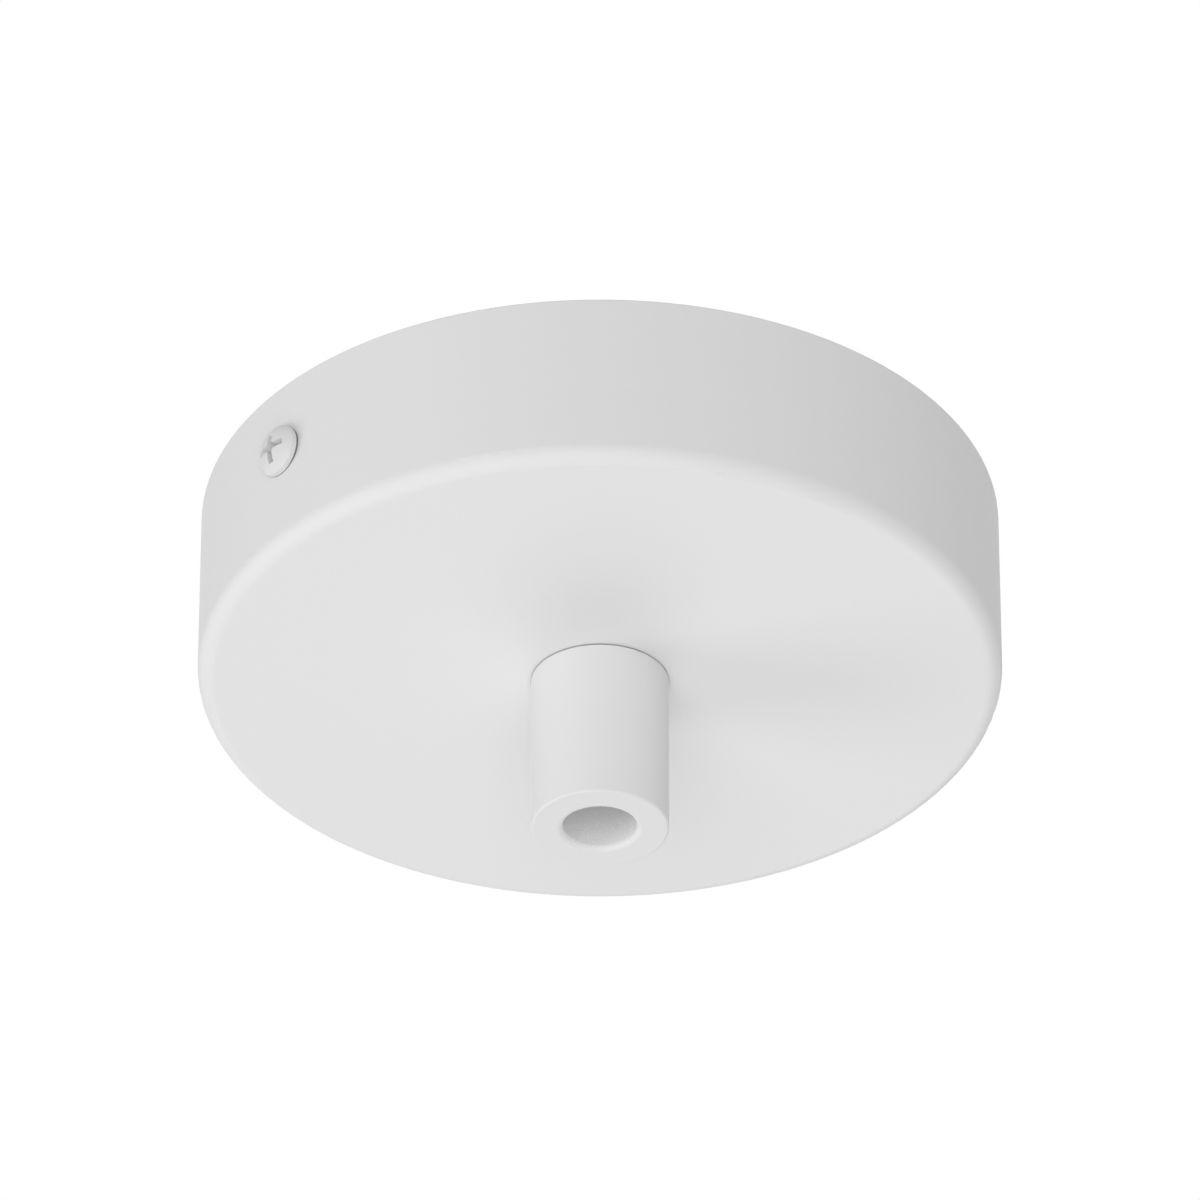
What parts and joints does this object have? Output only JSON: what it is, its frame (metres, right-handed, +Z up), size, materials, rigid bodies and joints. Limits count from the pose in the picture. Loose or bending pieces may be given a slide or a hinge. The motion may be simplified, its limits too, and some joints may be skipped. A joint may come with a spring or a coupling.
{
  "type": "ceiling rose",
  "caption": "Round white ceiling canopy with a central cord outlet, a cylindrical cord grip, side screws, and a mounting strap with a terminal block inside.",
  "frame": {"origin": "centre of the wire hole in the back face of the mounting strap, on the ceiling plane", "axes": "+Z up, out of the room through the ceiling; X along the strap, through both side screws; +Y towards the terminal block"},
  "size_m": [0.1086, 0.105, 0.048],
  "materials": {
    "white_coat": "satin white powder coat",
    "zinc_sheet": "bright zinc plated sheet",
    "zinc_hardware": "bright zinc plated",
    "brass": "plain brass",
    "block_plastic": "natural moulded plastic",
    "nylon": "white nylon"
  },
  "bodies": {
    "rose": {"cup": "white_coat", "cord_grip_body": "white_coat", "mounting_bracket": "zinc_sheet", "threaded_nipple": "zinc_hardware", "gland_nut": "zinc_hardware", "lock_washer": "zinc_hardware", "block_screw_left": "zinc_hardware", "block_screw_right": "zinc_hardware", "block_nut_left": "zinc_hardware", "block_nut_right": "zinc_hardware", "earth_cup_washer": "zinc_hardware", "earth_lock_washer": "zinc_hardware", "terminal_tube_1": "brass", "terminal_tube_2": "brass", "terminal_tube_3": "brass", "terminal_block_body": "block_plastic"},
    "side_screw_left_turning": {"side_screw_left": "white_coat"},
    "side_screw_right_turning": {"side_screw_right": "white_coat"},
    "cord_clamp_screw_turning": {"cord_clamp_screw": "nylon"},
    "earth_screw_turning": {"earth_screw": "brass"},
    "terminal_screw_1_turning": {"terminal_screw_1": "zinc_hardware"},
    "terminal_screw_2_turning": {"terminal_screw_2": "zinc_hardware"},
    "terminal_screw_3_turning": {"terminal_screw_3": "zinc_hardware"},
    "terminal_screw_4_turning": {"terminal_screw_4": "zinc_hardware"},
    "terminal_screw_5_turning": {"terminal_screw_5": "zinc_hardware"},
    "terminal_screw_6_turning": {"terminal_screw_6": "zinc_hardware"}
  },
  "joints": [
    {"name": "side_screw_left_travel", "type": "slide", "parent": "rose", "child": "side_screw_left_turning", "axis": [-1, 0, 0], "range_m": [0, 0.006]},
    {"name": "side_screw_right_travel", "type": "slide", "parent": "rose", "child": "side_screw_right_turning", "axis": [1, 0, 0], "range_m": [0, 0.006]},
    {"name": "cord_clamp_screw_travel", "type": "slide", "parent": "rose", "child": "cord_clamp_screw_turning", "axis": [0, -1, 0], "range_m": [0, 0.0028]},
    {"name": "earth_screw_travel", "type": "slide", "parent": "rose", "child": "earth_screw_turning", "axis": [0, -1, 0], "range_m": [0, 0.0045]},
    {"name": "terminal_screw_1_travel", "type": "slide", "parent": "rose", "child": "terminal_screw_1_turning", "axis": [0, 0, 1], "range_m": [0, 0.0026]},
    {"name": "terminal_screw_2_travel", "type": "slide", "parent": "rose", "child": "terminal_screw_2_turning", "axis": [0, 0, 1], "range_m": [0, 0.0026]},
    {"name": "terminal_screw_3_travel", "type": "slide", "parent": "rose", "child": "terminal_screw_3_turning", "axis": [0, 0, 1], "range_m": [0, 0.0026]},
    {"name": "terminal_screw_4_travel", "type": "slide", "parent": "rose", "child": "terminal_screw_4_turning", "axis": [0, 0, 1], "range_m": [0, 0.0026]},
    {"name": "terminal_screw_5_travel", "type": "slide", "parent": "rose", "child": "terminal_screw_5_turning", "axis": [0, 0, 1], "range_m": [0, 0.0026]},
    {"name": "terminal_screw_6_travel", "type": "slide", "parent": "rose", "child": "terminal_screw_6_turning", "axis": [0, 0, 1], "range_m": [0, 0.0026]}
  ]
}
